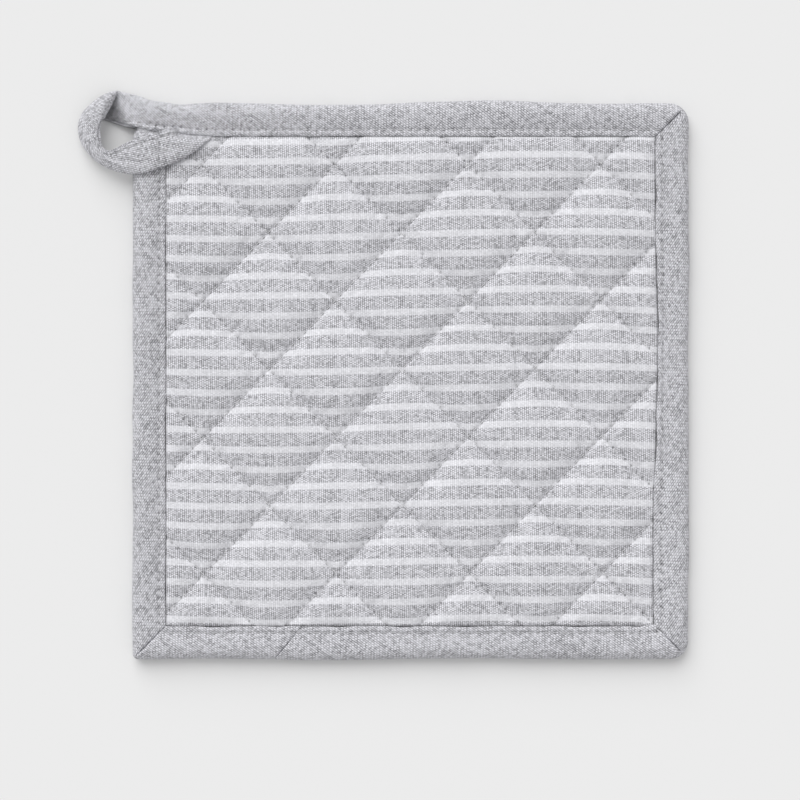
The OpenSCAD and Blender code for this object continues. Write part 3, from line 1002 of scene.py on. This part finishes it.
def build_long_strip():
    top = strip_side(0, crease_x, ROUND_CORNER, 620, over_end=True)
    right = strip_side(1, ROUND_CORNER, ROUND_CORNER, 560, over_end=False)
    bottom = strip_side(2, ROUND_CORNER, join_plane, 420, over_start=True)
    leave_corner(*top)
    lifted = bump_at(top[0][..., 0], -HALF + 24, 6.5) * bump_at(OPEN[None, :, 0], 0.4, 1.8)
    top[0][..., 2] += 0.55 * lifted * (OPEN_SIDE > 0)
    parts = [(turned(g, q), w, h) for q, (g, w, h) in enumerate((top, right, bottom))]
    grid, weave, painted_dark = joined(parts)
    obj = tape_object("binding_strip_long_tape", grid, weave, painted_dark)
    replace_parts(obj, "binding_strip_long")
    across_hinge(obj)


def build_short_strip():
    bottom = strip_side(2, join_plane, SMALL_CORNER, 220, over_end=True)
    left = strip_side(3, SMALL_CORNER, lambda inset: HALF - 7.0, 560)
    far = smooth(INNER - 0.5, INNER + 2.0, left[0][..., 0])
    squeezed = MID_Z + (left[0][..., 2] - MID_Z) * 0.60
    left[0][..., 2] = left[0][..., 2] * (1 - far) + squeezed * far
    under = smooth(56, 64, left[0][..., 0]) * smooth(INNER + 2, INNER - 2, left[0][..., 0])
    left[0][..., 2] -= 0.25 * under * (OPEN_SIDE > 0) * OUTSIDE
    left[0][..., 1] -= 1.3 * smooth(INNER - 1, INNER + 5, left[0][..., 0]) * (OPEN[None, :, 0] > 8)
    parts = [(turned(g, q), w, h) for q, (g, w, h) in ((2, bottom), (3, left))]
    grid, weave, painted_dark = joined(parts)
    obj = tape_object("binding_strip_short_tape", grid, weave, painted_dark)
    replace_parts(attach(obj, "pad"), "binding_strip_short")


# The loop's two edges from the crease round to the tail's hidden end: x and y from the pad's top left corner,
# and the height of the tape's middle.
LOOP_OUTER = [
    (-8.2, 3.6, 2.8), (-6.4, 4.2, 2.8), (-5.1, 4.5, 3.6), (-6.2, 4.2, 4.7), (-8.2, 3.8, 4.9), (-11.4, 2.3, 4.8),
    (-15.0, -0.3, 3.9), (-17.9, -3.3, 3.2), (-19.5, -6.9, 2.7), (-19.5, -10.9, 2.5), (-18.3, -14.5, 2.7),
    (-16.1, -17.7, 3.2), (-12.9, -20.8, 4.0), (-8.9, -23.4, 5.2), (-4.6, -25.1, 6.0), (0.1, -25.8, 6.7),
    (5.1, -25.3, 7.1), (10.5, -23.5, 7.3), (15.6, -21.7, 7.0), (20.6, -19.0, 6.6), (25.3, -15.6, 6.2),
    (29.3, -12.3, 5.4), (32.0, -9.8, 4.5), (33.5, -8.4, 4.4),
]
LOOP_INNER = [
    (-13.0, -6.3, 4.5), (-11.2, -6.0, 4.6), (-9.9, -5.8, 5.5), (-10.5, -6.2, 6.6), (-10.7, -7.0, 7.0),
    (-11.0, -8.1, 7.2), (-11.2, -9.2, 7.3), (-11.2, -10.3, 7.3), (-11.1, -11.4, 7.3), (-11.0, -12.9, 7.3),
    (-10.9, -14.2, 7.3), (-10.7, -15.6, 7.2), (-9.6, -16.9, 7.2), (-7.9, -17.5, 7.2), (-5.3, -16.4, 7.2),
    (-2.4, -14.9, 7.3), (1.2, -13.4, 7.4), (5.5, -12.0, 7.5), (9.5, -10.7, 7.5), (12.7, -9.7, 7.4),
    (15.6, -9.0, 7.0), (19.3, -7.6, 5.4), (23.0, -7.0, 4.4), (26.0, -6.6, 4.3),
]
LOOP_STATIONS = 420
FLAP_STATION = 300  # the station where every row of the loop's weave is level


def loop_edges():
    outer = curve_through(LOOP_OUTER, LOOP_STATIONS)
    inner = curve_through(LOOP_INNER, LOOP_STATIONS)
    for edge in (outer, inner):
        edge[:, 0] -= HALF
        edge[:, 1] += HALF
    return outer, inner


def loop_place(leg, high):
    """Points of the loop's tape along its whole run, at a distance from its sewn edge and from its middle."""
    outer, inner = loop_edges()
    share = leg / LEG
    points = inner + share * (outer - inner)
    across = np.linalg.norm((outer - inner)[:, :2], axis=1)
    tilt = (outer[:, 2] - inner[:, 2]) / across
    level = np.cos(np.arctan(tilt))
    out = (outer - inner)[:, :2] / across[:, None]
    step = np.arange(LOOP_STATIONS) / (LOOP_STATIONS - 1)
    thin = 1 - 0.45 * smooth(0.86, 0.95, step) - 0.3 * smooth(0.10, 0.0, step)
    points[:, :2] -= out * (high * thin * np.sin(np.arctan(tilt)))[:, None]
    points[:, 2] += high * thin * level
    crown = math.sin(math.pi * share) * smooth(0.08, 0.2, step) * smooth(0.62, 0.5, step)
    points[:, 2] += crown
    fold = smooth(0.42, 0.52, step) * smooth(0.72, 0.6, step)
    ridge_at = 2.2 + 7.5 * smooth(0.46, 0.68, step)
    points[:, 2] += fold * (0.55 * bump_at(leg, ridge_at, 1.1) - 0.35 * bump_at(leg, ridge_at - 2.0, 1.3))
    under = smooth(INNER - 2.0, INNER + 0.8, points[:, 1]) * smooth(-HALF + 14.5, -HALF + 18.0, points[:, 0])
    points[:, 2] = points[:, 2] * (1 - under) + (LINE_Z + 0.15 + 0.25 * high) * under
    return points


def build_loop():
    grid = np.zeros((LOOP_STATIONS, ROWS, 3))
    weave = np.zeros((LOOP_STATIONS, ROWS, 2))
    painted_dark = np.zeros((LOOP_STATIONS, ROWS))
    outer, inner = loop_edges()
    width = np.linalg.norm(outer - inner, axis=1)
    step = np.linspace(0, 1, LOOP_STATIONS)
    level_run = run_length((outer + inner) / 2)
    level_run -= level_run[FLAP_STATION]
    on_tail = np.arange(LOOP_STATIONS) > LOOP_STATIONS // 2
    own_run = run_length(loop_place(2.1, 0.4))
    for row in range(ROWS):
        leg, high = CLOSED[row]
        points = loop_place(leg, high)
        dent, dark = edge_dents(own_run, np.full(LOOP_STATIONS, leg + 0.2))
        uneven = 0.22 * waves(points[:, 0], points[:, 1], 91, 13) * bump_at(leg, 6, 5)
        crossed = bump_at(points[:, 0], -STITCH_IN, 0.7) * on_tail
        beside = bump_at(points[:, 0], -STITCH_IN, 0.44) * on_tail
        spot = (points[:, 1] / STITCH - np.round(points[:, 1] / STITCH)) * STITCH
        # painted shade: dark dots at the needle holes where the edge stitching crosses the tail
        dark = np.maximum(0.6 * dark, (high > 0) * 0.7 * beside * bump_at(spot, 0, 0.5))
        points[:, 2] += OUTSIDE[row] * np.sign(high) * (0.7 * dent + 0.5 * uneven * (1 - crossed) - 0.3 * crossed)
        grid[:, row] = points
        run = run_length(points)
        own = run - run[FLAP_STATION] - level_run
        weave[:, row, 0] = -level_run - own * (0.3 + 0.7 * smooth(0.42, 0.58, step)) - 60
        weave[:, row, 1] = CLOSED_GIRTH[row] * width / LEG
        painted_dark[:, row] = dark * OUTSIDE[row]
    obj = tape_object("hanging_loop_tape", grid, weave, painted_dark)
    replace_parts(obj, "hanging_loop", "loop_tail")
    across_hinge(obj)


def build_edge_threads():
    """The stitches that hold the binding, and those that close the loop."""
    stitch_z = MID_Z + 2.40
    span = np.arange(-STITCH_IN, STITCH_IN + 0.01, 0.25)
    for face, z, up in (("needle", stitch_z, 1.0), ("bobbin", MID_Z - 2.5, -1.0)):
        top_x = np.arange(-HALF - 3.6, STITCH_IN, 0.25)
        share = STITCH_LEG / LEG
        low, high, moved, close = leaving(top_x)
        top_y = STITCH_IN + moved * (low + share * (high - low) - STITCH_IN)
        top_z = z * (1 - close) + (tape_plane(top_y) + up * 0.64) * close
        lines = [np.column_stack([top_x, top_y, top_z])]
        right, bottom, left = (
            np.column_stack(np.broadcast_arrays(*place, z))
            for place in ((STITCH_IN, span[::-1]), (span[::-1], -STITCH_IN), (-STITCH_IN, span[span < INNER - 0.5])))
        if up > 0:
            left = left[left[:, 1] < HALF - 25.5]
            lines.append(tail_crossing())
        lines += [right, bottom, left]
        obj = stitches(f"binding_{face}_stitches", lines, EDGE_THREAD, f"binding_{face}_thread", body=None, up=up,
                       radius=0.15, lift=0.06, seed=7)
        across_hinge(obj)
    for face, up in (("needle", 1.0), ("bobbin", -1.0)):
        line = loop_place(2.1, up * 0.64)
        middle = int(0.60 * LOOP_STATIONS)
        first, last = int(0.14 * LOOP_STATIONS), int(0.86 * LOOP_STATIONS)
        for part, points in (("loop", line[first:middle]), ("tail", line[middle:last])):
            obj = stitches(f"{part}_{face}_stitches", [points], EDGE_THREAD, f"{part}_{face}_thread", body=None,
                           up=up, radius=0.14, lift=0.06, sink=0.3, seed=9)
            across_hinge(obj)


def tail_crossing():
    """The edge stitching's path over the loop's tail, on the tape's upper face."""
    best = []
    for leg in np.arange(2.6, 10.6, 0.5):
        line = loop_place(leg, 1.1)
        half_way = LOOP_STATIONS // 2
        at = half_way + int(np.argmin(np.abs(line[half_way:, 0] + STITCH_IN)))
        best.append(line[at])
    best = np.array(best)
    best[:, 0] = -STITCH_IN
    best[:, 2] += 0.12
    return best[::-1]


def build_seam_thread():
    """The hidden seam that joins the two strips."""
    low, high = box_mm("join_seam_thread")
    lines = []
    middle = (low + high) / 2
    for z in (low[2] + 0.2, high[2] - 0.2):
        lines.append([(low[0], low[1], z), (middle[0], middle[1], z), (high[0], high[1], z)])
    obj = stitches("join_seam_stitches", lines, EDGE_THREAD, "join_seam_thread", radius=0.12, lift=0.0, sink=0.1)


# ---- Room ----


def build_room():
    size = 3000.0
    verts = [(-size, -size, 0), (size, -size, 0), (size, size, 0), (-size, size, 0)]
    floor = new_object("floor", verts, [[0, 1, 2, 3]], floor_material())

    lamp = bpy.data.lights.new("window", "SUN")
    lamp.energy = 2.0
    lamp.angle = math.radians(56)
    lamp_object = bpy.data.objects.new("window", lamp)
    bpy.context.scene.collection.objects.link(lamp_object)
    towards = Vector((-0.36, 0.93, 0.78))
    lamp_object.rotation_euler = towards.to_track_quat("Z", "Y").to_euler()

    world = bpy.data.worlds.new("studio")
    bpy.context.scene.world = world
    world.use_nodes = True
    background = world.node_tree.nodes["Background"]
    background.inputs["Color"].default_value = (1.0, 1.0, 1.0, 1.0)
    background.inputs["Strength"].default_value = 0.63

    view = bpy.context.scene.view_settings
    view.view_transform = "Standard"
    view.look = "None"


def build_camera():
    """Straight above the pad, through a long lens."""
    camera = bpy.data.cameras.new("camera")
    camera.lens = 100
    camera.sensor_width = 36
    view_width = 1.44 * 2 * HALF
    away = view_width / camera.sensor_width * camera.lens
    camera_object = bpy.data.objects.new("camera", camera)
    camera_object.location = Vector((-3.8, -6.7, MID_Z + away)) * MM
    bpy.context.scene.collection.objects.link(camera_object)
    bpy.context.scene.camera = camera_object


build_camera()
build_room()
build_panels()
build_wadding()
build_quilting_threads()
build_long_strip()
build_short_strip()
build_loop()
build_edge_threads()
build_seam_thread()
